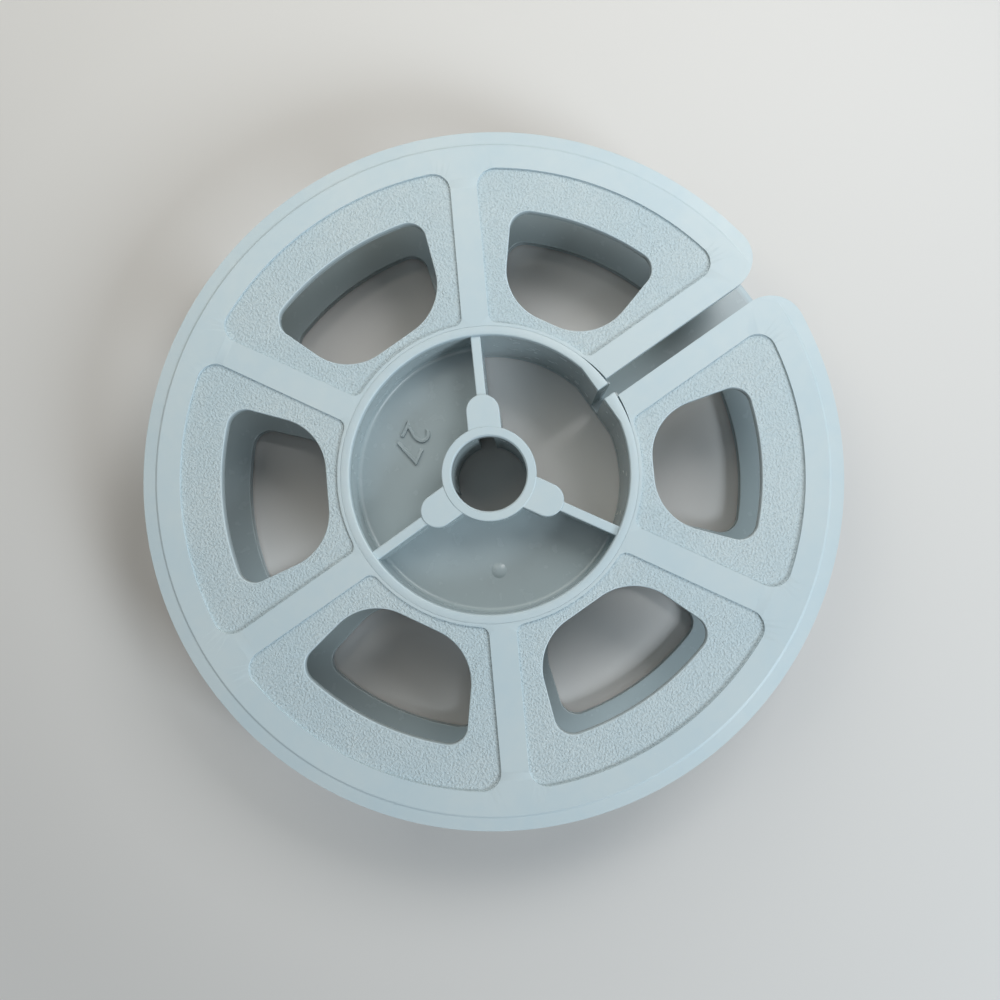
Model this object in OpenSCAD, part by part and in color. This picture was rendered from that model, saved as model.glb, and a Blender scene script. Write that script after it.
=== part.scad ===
// Empty cine film reel for film 8 mm wide, in two plastic mouldings: a core with the rear flange,
// and a slotted front flange that is pressed over the end of the core.
// The spindle axis is Z, the rear face is at Z = 0 and the film slot runs along +X. Millimetres.

/* [Reel] */
// Diameter of both flanges
flange_d = 75; // [68:0.5:90]
// Clear width between the flanges, for film 8 mm wide
film_gap = 8.4; // [8.1:0.1:10]
// Thickness of each flange
flange_t = 1.35; // [1.1:0.05:2]

/* [Rim] */
// Width of the lowered band round the rim
rim_band_w = 1.65; // [1:0.05:2.4]
// Step from the face of the flange down to the band
rim_step = 0.12; // [0.06:0.01:0.2]
// Fall of the band across its width
rim_fall = 0.16; // [0.06:0.01:0.25]
// Radius on the edges of the rim
rim_edge_r = 0.25; // [0.1:0.05:0.35]

/* [Panels] */
// Width of the plain land between the rim and the recessed panels
rim_land_w = 4.1; // [3:0.1:6]
// Width of the plain land along each spoke
spoke_w = 2.9; // [2:0.1:4]
// Width of the plain land round the hole of the flange
hole_land_w = 0.3; // [0.2:0.05:0.6]
// Depth of the recessed panels
panel_depth = 0.25; // [0.15:0.05:0.4]
// Corner radius at the outer edge of a panel
panel_out_corner = 2; // [1:0.1:3]
// Corner radius at the inner edge of a panel
panel_in_corner = 1; // [0.6:0.1:1.4]

/* [Windows] */
// Width of the panel outside a window
window_out_border = 4.45; // [3:0.05:6]
// Width of the panel inside a window
window_in_border = 1.2; // [0.8:0.05:2]
// Angle that a window of the front flange spans
window_deg = 40.3; // [34:0.1:44]
// Angle that a window of the rear flange spans
rear_window_deg = 39.3; // [34:0.1:44]
// Turn of the rear flange's panels and windows against those of the front flange
rear_turn = 1.6; // [0:0.1:2.5]
// Corner radius at the outer edge of a window
window_out_corner = 2; // [1:0.1:3]
// Corner radius at the straight inner end of a window
window_in_corner = 6; // [4:0.1:6.5]

/* [Film slot] */
// Width of the slot through the front flange
slot_w = 2.2; // [1.6:0.1:3]
// Width of the plain land on each side of the slot
slot_land_w = 2.9; // [2:0.1:3.4]
// Radius where the slot opens at the rim
mouth_r = 3.8; // [2:0.1:4.5]
// Angle from the slot to the near side of the windows beside it
slot_window_deg = 15.5; // [15:0.1:18]
// Width of the slit through the barrel, in line with the slot
slit_w = 1.15; // [0.8:0.05:1.6]
// Thickness that a flat adds inside the barrel where the slit cuts it
slit_pad_t = 0.38; // [0.25:0.01:0.6]

/* [Core] */
// Inside diameter of the barrel
barrel_d = 30; // [27:0.5:32]
// Thickness of the barrel under the film
barrel_wall = 1.4; // [1.2:0.05:1.8]
// Width of the shoulder that the front flange sits on
shoulder_w = 0.45; // [0.3:0.05:0.6]
// Clearance all round between the front flange and the end of the barrel
seat_clearance = 0.05; // [0.03:0.01:0.1]
// Radius on the inner edges of the barrel
barrel_edge_r = 0.2; // [0.1:0.05:0.3]
// Thickness of the web across the barrel
web_t = 1.1; // [0.8:0.1:2]
// Fillet between the web and the barrel
web_fillet_r = 0.5; // [0.3:0.1:0.8]
// Thickness of the ribs
rib_t = 1.05; // [0.8:0.05:1.5]
// How far the ribs stop short of the outer faces of the flanges
rib_drop = 0.35; // [0.2:0.05:0.6]

/* [Spindle hub] */
// Diameter of the spindle bore
bore_d = 8.1; // [7.5:0.05:8.5]
// Thickness of the collar round the bore
collar_wall = 0.98; // [0.8:0.02:1.3]
// How far the collar stops short of the outer faces of the flanges
collar_drop = 0.1; // [0.05:0.05:0.2]
// Chamfer at each end of the bore
bore_chamfer = 0.15; // [0.1:0.05:0.3]
// Width of the three lobes that enclose the keyways
lobe_w = 3.6; // [3:0.1:4]
// Radius that the tips of the lobes reach
lobe_reach = 8.6; // [7.8:0.1:9.5]
// How far the lobes stop short of the outer faces of the flanges
lobe_drop = 0.18; // [0.1:0.02:0.3]
// Thickness of the lobe wall round a keyway
lobe_wall = 0.9; // [0.7:0.05:1.1]
// Thickness of the lobe that closes a keyway at the front
keyway_cap_t = 1.2; // [0.8:0.1:2]

/* [Moulding marks] */
// Diameter of the ejector pin mark on the web
pin_mark_d = 1.8; // [1:0.05:2.5]
// How far the ejector pin mark stands up from the web
pin_mark_rise = 0.2; // [0.1:0.01:0.3]
// Distance from the spindle axis to the ejector pin mark
pin_mark_r = 10.5; // [10:0.1:11.5]

/* [Hidden] */
$fn = 96;
plastic = [0.68, 0.76, 0.80];

// Spokes stand at every pitch, one of them under the slot. Ribs and lobes stand at every other spoke.
spoke_count = 6;
pitch = 360 / spoke_count;
rib_angles = [pitch, 3 * pitch, 5 * pitch];
// The web fills the barrel from the first rib round to the last, and leaves the slot's side open.
web_span = rib_angles[2] - rib_angles[0];

reel_w = film_gap + 2 * flange_t;
mid_z = reel_w / 2;
flange_r = flange_d / 2;
barrel_in_r = barrel_d / 2;
barrel_out_r = barrel_in_r + barrel_wall;
spigot_r = barrel_out_r - shoulder_w;
hole_r = spigot_r + seat_clearance;
panel_out_r = flange_r - rim_land_w;
panel_in_r = hole_r + hole_land_w;
window_out_r = panel_out_r - window_out_border;
window_in_r = panel_in_r + window_in_border;
slot_panel_offset = slot_w / 2 + slot_land_w;
bore_r = bore_d / 2;
collar_r = bore_r + collar_wall;
keyway_w = lobe_w - 2 * lobe_wall;
band_angle = atan2(rim_fall, rim_band_w);

// How far a cut runs past the face that it leaves
past = 1;
// How far a corner's arc runs past the edges that it joins, so that they cross cleanly
cross = 0.001;

// The part of a corner that lies outside its arc. n1 and n2 point from the centre to the two edges.
module corner(centre, n1, n2, r) {
    reach = 2 * r + past;
    difference() {
        polygon([centre, centre + reach * n1, centre + reach * (n1 + n2), centre + reach * n2]);
        translate(centre) circle(r + cross);
    }
}

// The two corners along one side of a sector. The side lies at the offset from the X axis, parallel to it.
module side_corners(r_in, r_out, offset_y, c_in, c_out) {
    out_y = offset_y + c_out;
    out_x = sqrt(pow(r_out - c_out, 2) - pow(out_y, 2));
    in_y = offset_y + c_in;
    in_x = sqrt(pow(r_in + c_in, 2) - pow(in_y, 2));
    corner([out_x, out_y], [0, -1], [out_x, out_y] / (r_out - c_out), c_out);
    corner([in_x, in_y], [0, -1], -[in_x, in_y] / (r_in + c_in), c_in);
}

// A piece of a ring with round corners, between sides at two angles, each set in by its own offset.
module sector(r_in, r_out, a1, a2, offset1, offset2, c_in, c_out) {
    difference() {
        intersection() {
            difference() {
                circle(r_out);
                circle(r_in);
            }
            rotate(a1) translate([0, offset1]) square(r_out + past);
            rotate(a2) mirror([0, 1]) translate([0, offset2]) square(r_out + past);
        }
        rotate(a1) side_corners(r_in, r_out, offset1, c_in, c_out);
        rotate(a2) mirror([0, 1]) side_corners(r_in, r_out, offset2, c_in, c_out);
    }
}

// The recessed panel between two spokes
module panel(a1, offset1, offset2) {
    sector(panel_in_r, panel_out_r, a1, a1 + pitch, offset1, offset2, panel_in_corner, panel_out_corner);
}

// The two corners along one side of a window. The middle of the bay leans from the side by an angle.
module window_corners(lean) {
    toward_hub = -[cos(lean), sin(lean)];
    in_x = (window_in_r + window_in_corner * (1 - sin(lean))) / cos(lean);
    out_x = sqrt(pow(window_out_r - window_out_corner, 2) - pow(window_out_corner, 2));
    out = [out_x, window_out_corner];
    corner([in_x, window_in_corner], [0, -1], toward_hub, window_in_corner);
    corner(out, [0, -1], out / norm(out), window_out_corner);
}

// A window between two angles, with a straight inner end square to the middle of the bay
module window(a1, a2, middle) {
    across = 2 * window_out_r;
    difference() {
        intersection() {
            circle(window_out_r);
            rotate(middle) translate([window_in_r, -across / 2]) square(across);
            rotate(a1) square(across);
            rotate(a2) mirror([0, 1]) square(across);
        }
        rotate(a1) window_corners(middle - a1);
        rotate(a2) mirror([0, 1]) window_corners(a2 - middle);
    }
}

// The panel and the window that every spoke has on its left, for the spokes with these numbers
module plain_panels(spokes) {
    for (i = spokes) panel(i * pitch, spoke_w / 2, spoke_w / 2);
}

module plain_windows(spokes, span) {
    for (i = spokes) {
        middle = (i + 0.5) * pitch;
        window(middle - span / 2, middle + span / 2, middle);
    }
}

// The panel and the window on one side of the slot
module slot_panel() {
    panel(0, slot_panel_offset, spoke_w / 2);
}

module slot_window() {
    window(slot_window_deg, (pitch + window_deg) / 2, pitch / 2);
}

// The slot in the front flange, with its rounded mouth at the rim
module slot() {
    mouth_y = slot_w / 2 + mouth_r;
    mouth_x = sqrt(pow(flange_r - mouth_r, 2) - pow(mouth_y, 2));
    translate([0, -slot_w / 2]) square([flange_r + past, slot_w]);
    for (side = [0, 1]) mirror([0, side]) {
        corner([mouth_x, mouth_y], [0, -1], [mouth_x, mouth_y] / (flange_r - mouth_r), mouth_r);
    }
}

// Half section of a flange from the inner radius to the rim. Its film side is on the X axis.
module flange_section(r_in) {
    band_r = flange_r - rim_band_w;
    band_z = flange_t - rim_step;
    edge_r = flange_r - rim_edge_r;
    edge_z = band_z - rim_fall * (edge_r - band_r) / rim_band_w - rim_edge_r / cos(band_angle);
    difference() {
        polygon([
            [r_in, 0], [flange_r, 0], [flange_r, band_z - rim_fall],
            [band_r, band_z], [band_r, flange_t], [r_in, flange_t]
        ]);
        corner([edge_r, rim_edge_r], [1, 0], [0, -1], rim_edge_r);
        corner([edge_r, edge_z], [1, 0], [sin(band_angle), cos(band_angle)], rim_edge_r);
    }
}

// Half section of the barrel, with the shoulder and the spigot that carry the front flange
module barrel_section() {
    edge_r = barrel_in_r + barrel_edge_r;
    difference() {
        polygon([
            [barrel_in_r, 0], [barrel_out_r, 0], [barrel_out_r, reel_w - flange_t],
            [spigot_r, reel_w - flange_t], [spigot_r, reel_w], [barrel_in_r, reel_w]
        ]);
        corner([edge_r, barrel_edge_r], [-1, 0], [0, -1], barrel_edge_r);
        corner([edge_r, reel_w - barrel_edge_r], [-1, 0], [0, 1], barrel_edge_r);
    }
}

// The slit through the barrel that holds the end of the film, open towards the front
module slit() {
    start_x = barrel_in_r - past;
    end_x = barrel_out_r + past;
    translate([start_x, -slit_w / 2, flange_t]) cube([end_x - start_x, slit_w, reel_w]);
}

// The flat inside the barrel where the slit cuts it. It ends where the rounding of the barrel's edges starts.
module slit_pad() {
    height = reel_w - 2 * barrel_edge_r;
    translate([0, 0, barrel_edge_r]) intersection() {
        cylinder(r = barrel_in_r + barrel_wall / 2, h = height);
        translate([barrel_in_r - slit_pad_t, -barrel_in_r, 0]) cube([barrel_wall, barrel_d, height]);
    }
}

// Half section of the web, with its fillets at the barrel. It runs a little into the barrel and the collar.
module web_section() {
    fillet_x = barrel_in_r - web_fillet_r;
    collar_x = bore_r + collar_wall / 2;
    barrel_x = barrel_in_r + barrel_wall / 2;
    translate([collar_x, mid_z - web_t / 2]) square([barrel_x - collar_x, web_t]);
    for (side = [0, 1]) translate([0, mid_z]) mirror([0, side]) {
        difference() {
            translate([fillet_x, 0]) square([barrel_x - fillet_x, web_t / 2 + web_fillet_r]);
            translate([fillet_x, web_t / 2 + web_fillet_r]) circle(web_fillet_r);
        }
    }
}

// Outline of a lobe, or of the keyway inside it, from the spindle axis out to its round tip
module lobe_outline(w) {
    tip_x = lobe_reach - lobe_w / 2;
    translate([0, -w / 2]) square([tip_x, w]);
    translate([tip_x, 0]) circle(w / 2);
}

// A rib from a lobe out into the barrel
module rib() {
    start_x = lobe_reach - lobe_w / 2;
    end_x = barrel_in_r + barrel_wall / 2;
    translate([start_x, -rib_t / 2, rib_drop]) cube([end_x - start_x, rib_t, reel_w - 2 * rib_drop]);
}

module lobe() {
    translate([0, 0, lobe_drop]) linear_extrude(reel_w - 2 * lobe_drop) lobe_outline(lobe_w);
}

// A keyway is open to the bore and to the rear, and the lobe closes it at the front.
module keyway() {
    translate([0, 0, -past]) linear_extrude(reel_w - lobe_drop - keyway_cap_t + past) lobe_outline(keyway_w);
}

module spindle_bore() {
    translate([0, 0, -past]) cylinder(r = bore_r, h = reel_w + 2 * past);
    for (side = [0, 1]) translate([0, 0, mid_z]) mirror([0, 0, side]) {
        translate([0, 0, mid_z - collar_drop - bore_chamfer]) {
            cylinder(r1 = bore_r, r2 = bore_r + bore_chamfer + past, h = bore_chamfer + past);
        }
    }
}

// The round mark that an ejector pin leaves on the web, as a low dome
module pin_mark() {
    mark_r = pin_mark_d / 2;
    ball_r = (pow(mark_r, 2) + pow(pin_mark_rise, 2)) / (2 * pin_mark_rise);
    top_z = mid_z + web_t / 2 + pin_mark_rise;
    rotate(4 * pitch) translate([pin_mark_r, 0, 0]) intersection() {
        translate([0, 0, top_z - ball_r]) sphere(ball_r);
        translate([0, 0, mid_z]) cylinder(r = ball_r, h = top_z);
    }
}

module core_rear_flange() {
    color(plastic) difference() {
        union() {
            rotate_extrude() barrel_section();
            slit_pad();
            rotate_extrude() translate([0, flange_t]) mirror([0, 1]) flange_section(barrel_in_r + barrel_edge_r);
            rotate(rib_angles[0]) rotate_extrude(angle = web_span) web_section();
            translate([0, 0, collar_drop]) cylinder(r = collar_r, h = reel_w - 2 * collar_drop);
            for (a = rib_angles) rotate(a) {
                lobe();
                rib();
            }
            pin_mark();
        }
        rotate(rear_turn) translate([0, 0, -past]) {
            linear_extrude(flange_t + 2 * past) plain_windows([0 : spoke_count - 1], rear_window_deg);
            linear_extrude(panel_depth + past) plain_panels([0 : spoke_count - 1]);
        }
        slit();
        spindle_bore();
        for (a = rib_angles) rotate(a) keyway();
    }
}

module front_flange() {
    color(plastic) translate([0, 0, reel_w - flange_t]) difference() {
        rotate_extrude() flange_section(hole_r);
        translate([0, 0, -past]) linear_extrude(flange_t + 2 * past) {
            plain_windows([1 : spoke_count - 2], window_deg);
            for (side = [0, 1]) mirror([0, side]) slot_window();
        }
        translate([0, 0, flange_t - panel_depth]) linear_extrude(panel_depth + past) {
            plain_panels([1 : spoke_count - 2]);
            for (side = [0, 1]) mirror([0, side]) slot_panel();
        }
        translate([0, 0, -past]) linear_extrude(flange_t + 2 * past) slot();
    }
}

core_rear_flange();
front_flange();
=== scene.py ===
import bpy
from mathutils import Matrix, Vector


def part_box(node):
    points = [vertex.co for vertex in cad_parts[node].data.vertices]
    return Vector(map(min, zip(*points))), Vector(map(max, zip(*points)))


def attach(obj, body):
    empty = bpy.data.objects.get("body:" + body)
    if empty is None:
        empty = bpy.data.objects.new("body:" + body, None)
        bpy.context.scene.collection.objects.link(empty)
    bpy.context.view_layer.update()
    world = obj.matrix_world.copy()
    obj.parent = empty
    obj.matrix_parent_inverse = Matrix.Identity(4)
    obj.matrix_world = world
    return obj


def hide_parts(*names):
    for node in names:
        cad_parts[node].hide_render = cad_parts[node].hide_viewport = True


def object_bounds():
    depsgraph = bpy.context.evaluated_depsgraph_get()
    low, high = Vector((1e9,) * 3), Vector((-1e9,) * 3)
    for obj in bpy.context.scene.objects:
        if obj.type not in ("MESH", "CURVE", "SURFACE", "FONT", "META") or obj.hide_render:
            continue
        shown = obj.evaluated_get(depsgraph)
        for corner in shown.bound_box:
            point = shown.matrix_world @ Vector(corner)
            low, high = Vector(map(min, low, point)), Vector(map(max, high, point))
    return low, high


bl_info = {
    "name": "Cine film reel",
    "version": (1, 0, 0),
    "blender": (4, 5, 0),
    "location": "3D View > Sidebar > Film reel",
    "description": "Models an empty moulded film reel, its plastic and its studio on the CAD frame",
    "category": "Object",
}

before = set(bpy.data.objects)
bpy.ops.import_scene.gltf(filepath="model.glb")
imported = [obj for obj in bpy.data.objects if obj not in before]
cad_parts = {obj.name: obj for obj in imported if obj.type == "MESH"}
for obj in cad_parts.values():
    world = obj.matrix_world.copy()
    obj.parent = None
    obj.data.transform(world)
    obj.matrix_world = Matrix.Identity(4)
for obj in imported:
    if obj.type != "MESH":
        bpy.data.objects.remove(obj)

from math import acos, asin, atan2, ceil, cos, hypot, pi, radians, sin, sqrt, tau

import bmesh
import bpy
from bmesh.types import BMEdge, BMVert
from bpy.props import FloatProperty, FloatVectorProperty, PointerProperty, StringProperty
from bpy.types import Operator, Panel, PropertyGroup
from mathutils import Matrix, Vector

MM = 0.001
UP = Vector((0, 0, 1))
AXIS = Vector((0, 0, 0))

# The reel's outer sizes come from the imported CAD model.
CAD_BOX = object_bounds()
CORE_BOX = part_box("core_rear_flange")
FRONT_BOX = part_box("front_flange")
REEL_W = CORE_BOX[1].z
FLANGE_R = CORE_BOX[1].y
FLANGE_T = FRONT_BOX[1].z - FRONT_BOX[0].z

# Spokes stand at every pitch, one of them under the film slot. Ribs stand at every other spoke.
SPOKES = 6
PITCH = tau / SPOKES
RIB_SPOKES = (1, 3, 5)

# How far a drawn arc may lie from the true circle, and how close two points are to be one
ARC_ERROR = 0.003 * MM
SAME_POINT = 0.0005 * MM
# How far a cutter runs past the faces that it leaves
PAST = 1 * MM
# How far down the rim's sloped step lies, at even steps across it
STEP_SLOPE = (0.07, 0.26, 0.5, 0.74, 0.93, 1.0)
# Edges sharper than this stay sharp in the shading
SHARP_ANGLE = radians(32)
# A face whose normal rises more than this is level
LEVEL = 0.99999
# The face attribute that says where the panels are grained
GRAIN = "grain"
# The face attribute by which level faces set the shading of their corners, and its highest value
FACE_STRENGTH = "__mod_weightednormals_faceweight"
STRONG = 16384
# The spoke that the ejector pin mark stands in line with
PIN_MARK_SPOKE = 4
# How far the pattern of the front flange's plastic is shifted from the core's
FRONT_SHIFT = 0.3
# Width of the slow drifts and of the clouds in the plastic's colour
FLOW_SIZE = 11 * MM
CLOUD_SIZE = 1.4 * MM
# Directions of the hairline scratches, their width, their length in widths, and the size of their patches
SCRATCH_TURNS = (0.4, 1.7, 2.6)
SCRATCH_WIDTH = 0.11 * MM
SCRATCH_STRETCH = 50
SCRATCH_PATCH = 9 * MM
# How much rougher a full scratch is than the plastic round it
SCRATCH_ROUGHNESS = 0.2
# Distance between the places where a speck of dust may lie
DUST_SPACING = 1.6 * MM


def size(name, description, millimetres):
    """A length that a user can change."""
    return FloatProperty(
        name=name, description=description, default=millimetres * MM, min=0, unit="LENGTH", precision=5
    )


def angle(name, description, degrees):
    """An angle that a user can change."""
    return FloatProperty(name=name, description=description, default=radians(degrees), subtype="ANGLE")


def factor(name, description, value, high=1.0):
    """A plain number that a user can change."""
    return FloatProperty(name=name, description=description, default=value, min=0, max=high)


def colour(name, description, red, green, blue):
    """A colour that a user can change, in linear values."""
    return FloatVectorProperty(
        name=name, description=description, default=(red, green, blue),
        size=3, subtype="COLOR", min=0, max=1,
    )


class FlangeSizes(PropertyGroup):
    """Sizes of both flanges and of the film slot."""

    rim_band_w: size("Rim band", "Width of the lowered band round the rim", 1.65)
    rim_step: size("Rim step", "Step from the face down to the band", 0.12)
    rim_fall: size("Rim fall", "Fall of the band across its width", 0.16)
    rim_land_w: size("Rim land", "Plain land between the rim and the panels", 4.1)
    spoke_w: size("Spoke land", "Plain land along each spoke", 2.9)
    hole_land_w: size("Hole land", "Plain land round the hole of the flange", 0.335)
    hole_r: size("Hole radius", "Radius of the hole in the front flange", 15.965)
    seam_gap: size("Seam gap", "How far the hole gapes at the slot", 0.14)
    seam_turn: angle("Seam turn", "Angle from the slot to where the hole stops gaping", 17)
    panel_depth: size("Panel depth", "Depth of the recessed panels", 0.25)
    panel_out_corner: size("Panel outer corner", "Corner radius at a panel's outer edge", 2)
    panel_in_corner: size("Panel inner corner", "Corner radius at a panel's inner edge", 1)
    window_out_border: size("Outer border", "Width of the panel outside a window", 4.45)
    window_in_border: size("Inner border", "Width of the panel inside a window", 1.2)
    window_span: angle("Window span", "Angle that a window of the front flange spans", 40.3)
    rear_window_span: angle("Rear window span", "Angle that a window of the rear flange spans", 39.3)
    rear_turn: angle("Rear turn", "Turn of the rear flange's bays against the front flange's", 1.6)
    window_out_corner: size("Window outer corner", "Corner radius at a window's outer edge", 2)
    window_in_corner: size("Window inner corner", "Corner radius at a window's straight inner end", 6)
    slot_w: size("Slot width", "Width of the slot through the front flange", 2.2)
    slot_land_w: size("Slot land", "Plain land on each side of the slot", 2.9)
    slot_window_turn: angle("Slot to window", "Angle from the slot to the window beside it", 15.5)
    mouth_r: size("Mouth radius", "Radius where the slot opens at the rim", 3.8)
    mouth_fade: angle("Mouth fade", "Angle over which the rim's step runs out at the mouth", 7)
    rim_edge_r: size("Rim edge", "Rounding of the rim, the slot and its mouth", 0.15)
    window_edge_r: size("Window edge", "Rounding of the windows' edges", 0.12)
    panel_edge_r: size("Panel edge", "Rounding along the panels' walls", 0.11)
    step_run: size("Step run", "Width of the slope from the face down to the band", 0.32)


class CoreSizes(PropertyGroup):
    """Sizes of the barrel, the web and the spindle hub."""

    barrel_r: size("Barrel radius", "Inside radius of the barrel", 15)
    barrel_wall: size("Barrel wall", "Thickness of the barrel under the film", 1.4)
    shoulder_w: size("Shoulder", "Shoulder that the front flange sits on", 0.45)
    barrel_edge_r: size("Barrel edge", "Rounding of the barrel's inner edges", 0.2)
    seat_edge_r: size("Seat edge", "Rounding of the barrel's end against the front flange", 0.02)
    slit_w: size("Slit", "Width of the slit through the barrel", 1.15)
    slit_edge_r: size("Slit edge", "Chamfer along the slit's front edges", 0.08)
    slit_pad_t: size("Slit pad", "Thickness that a flat adds inside the barrel at the slit", 0.38)
    slit_pad_drop: size("Slit pad drop", "How far that flat stops short of the faces", 0.005)
    slit_sill: size("Slit sill", "Sill left between the slit and the rear flange", 0.03)
    web_t: size("Web", "Thickness of the web across the barrel", 1.1)
    web_fillet_r: size("Web fillet", "Fillet between the web and the barrel", 0.5)
    rib_t: size("Rib", "Thickness of the ribs", 1.05)
    rib_drop: size("Rib drop", "How far the ribs stop short of the faces", 0.35)
    rib_turn: angle("Rib turn", "Turn of the ribs and lobes against the spokes", 0.7)
    bore_r: size("Bore radius", "Radius of the spindle bore", 4.05)
    bore_chamfer: size("Bore chamfer", "Chamfer at each end of the bore", 0.15)
    collar_wall: size("Collar wall", "Thickness of the collar round the bore", 1.05)
    collar_drop: size("Collar drop", "How far the collar stops short of the faces", 0.1)
    lobe_w: size("Lobe", "Width of the lobes that enclose the keyways", 3.6)
    lobe_reach: size("Lobe reach", "Radius that the lobes' tips reach", 8.6)
    lobe_drop: size("Lobe drop", "How far the lobes stop short of the faces", 0.18)
    lobe_wall: size("Lobe wall", "Thickness of the lobe round a keyway", 0.9)
    keyway_cap_t: size("Keyway cap", "Thickness that closes a keyway at the front", 1.2)
    hub_edge_r: size("Hub edge", "Rounding of the ribs, lobes and collar", 0.12)
    pin_mark_d: size("Pin mark", "Diameter of the ejector pin mark", 1.8)
    pin_mark_rise: size("Pin mark rise", "How far the ejector pin mark stands up from the web", 0.26)
    pin_mark_r: size("Pin mark place", "Distance of the pin mark from the axis", 10.5)


class NumberSizes(PropertyGroup):
    """The raised mould number on the web."""

    text: StringProperty(name="Number", description="Mould number on the web", default="27")
    height: size("Height", "Height of the digits", 3.1)
    rise: size("Rise", "How far the digits stand up from the web", 0.28)
    edge_r: size("Edge", "Rounding of the digits", 0.045)
    thinning: size("Thinning", "How much thinner the strokes are than the font's", 0.06)
    place_r: size("Place", "Distance of the number from the axis", 9.9)
    turn: angle("Turn", "Angle of the number round the axis", 121)


class PlasticLook(PropertyGroup):
    """Colour and finish of the moulded plastic."""

    base: colour("Plastic", "Colour of the plastic", 0.54, 0.637, 0.67)
    shade: colour("Mottle", "Colour that the plastic drifts towards", 0.50, 0.615, 0.665)
    # Deep inside the reel the plastic takes this colour as painted shade.
    inside: colour("Inside", "Colour inside the reel, where the plastic has not faded", 0.37, 0.444, 0.465)
    # The pits of the grain take this colour as painted shade.
    pit: colour("Pits", "Painted shade in the pits between the pebbles", 0.40, 0.50, 0.54)
    dust: colour("Dust", "Colour of dust and of fine scratches", 0.62, 0.69, 0.70)
    shade_depth: size("Shade depth", "Depth below the outer faces at which the painted shade starts", 0.4)
    shade_run: size("Shade run", "Depth over which the painted shade comes in", 0.5)
    ior: factor("IOR", "Index of refraction of the plastic", 1.5, 3)
    pit_shade_share: factor("Pit share", "How far the pits take the painted shade", 0.5)
    dust_share: factor("Dust share", "How far dust covers the plastic", 0.5)
    scratch_share: factor("Scratch share", "How far scratches show against dust", 0.3)
    roughness: factor("Roughness", "Roughness of the smooth lands", 0.42)
    inside_roughness: factor("Inside roughness", "Roughness inside the reel, where no hand dulls it", 0.22)
    roughness_drift: factor("Roughness drift", "How much rougher the dullest places are", 0.08)
    skin_depth: size("Skin depth", "Height of the slight waves of the moulded skin", 0.004)
    grain_roughness: factor("Grain roughness", "Roughness of the grained panels", 0.6)
    grain_size: size("Grain size", "Width of one pebble of the grain", 0.18)
    grain_depth: size("Grain depth", "Height of the pebbles", 0.085)


class StudioSetup(PropertyGroup):
    """The floor, the lamps and the camera."""

    floor_colour: colour("Floor", "Colour of the floor where it is seen", 0.72, 0.715, 0.70)
    floor_bounce: colour("Floor bounce", "Colour that the floor sends back", 0.15, 0.112, 0.088)
    floor_glow: colour("Floor glow", "Even tone of the floor far from the reel", 0.72, 0.735, 0.75)
    glow_start: size("Glow start", "Distance from the reel at which the floor's glow starts", 70)
    glow_end: size("Glow end", "Distance from the reel at which the floor's glow is full", 170)
    floor_size: size("Floor size", "Width of the floor", 3000)
    camera_place: FloatVectorProperty(
        name="Camera place", description="Where the camera stands", default=(-0.0011, -0.009, 0.1016),
        size=3, subtype="TRANSLATION", unit="LENGTH",
    )
    camera_turn: FloatVectorProperty(
        name="Camera turn", description="Tilt, lean and turn of the camera",
        default=(radians(3.254), radians(1.9534), radians(-35.2)), size=3, subtype="EULER",
    )
    camera_lens: FloatProperty(
        name="Lens", description="Focal length of the camera", default=30.69, unit="CAMERA"
    )
    camera_film: FloatProperty(
        name="Film width", description="Width of the camera's picture", default=36, unit="CAMERA"
    )
    camera_clip: size("Camera clip", "Nearest distance that the camera sees", 5)
    floor_gap: size("Floor gap", "Gap between the reel and the floor", 0.02)
    key_turn: angle("Key turn", "Angle of the key lamp round the reel", 16)
    key_height: angle("Key height", "Height of the key lamp above the floor", 48)
    key_reach: size("Key distance", "Distance of the key lamp from the reel", 165)
    key_width: size("Key width", "Width of the key lamp", 70)
    key_colour: colour("Key colour", "Colour of the key lamp", 1.0, 1.0, 1.0)
    key_level: factor("Key level", "How brightly the key lamp lights a level face", 0.27)
    side_turn: angle("Side turn", "Angle of the side lamp round the reel", -72)
    side_height: angle("Side height", "Height of the side lamp above the floor", 32)
    side_reach: size("Side distance", "Distance of the side lamp from the reel", 330)
    side_width: size("Side width", "Width of the side lamp", 115)
    side_colour: colour("Side colour", "Colour of the side lamp", 0.84, 0.93, 1.0)
    side_level: factor("Side level", "How brightly the side lamp lights a level face", 0.315)
    fill_turn: angle("Fill turn", "Angle of the fill lamp round the reel", 85)
    fill_height: angle("Fill height", "Height of the fill lamp above the floor", 48)
    fill_reach: size("Fill distance", "Distance of the fill lamp from the reel", 165)
    fill_width: size("Fill width", "Width of the fill lamp", 120)
    fill_colour: colour("Fill colour", "Colour of the fill lamp", 1.0, 0.95, 0.84)
    fill_level: factor("Fill level", "How brightly the fill lamp lights a level face", 0.225)
    sky_colour: colour("Sky colour", "Colour of the even light", 0.96, 0.98, 1.0)
    sky: factor("Sky", "Strength of the even light all round", 0.18, 4)
    backdrop: factor("Backdrop", "Brightness of the space behind the reel where it is seen", 0.75)


def turned(radius, turn, z=0.0):
    """The point at a radius and an angle round the reel's axis."""
    return Vector((radius * cos(turn), radius * sin(turn), z))


def draw_line(bm, vert, end):
    """Draws a straight edge from a vertex to a point and returns the new vertex."""
    drawn = bmesh.ops.extrude_vert_indiv(bm, verts=[vert])["verts"][0]
    drawn.co = end
    return drawn


def draw_path(bm, points):
    """Draws straight edges through points, and returns the first and the last vertex."""
    first = bm.verts.new(points[0])
    last = first
    for point in points[1:]:
        last = draw_line(bm, last, point)
    return first, last


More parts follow.
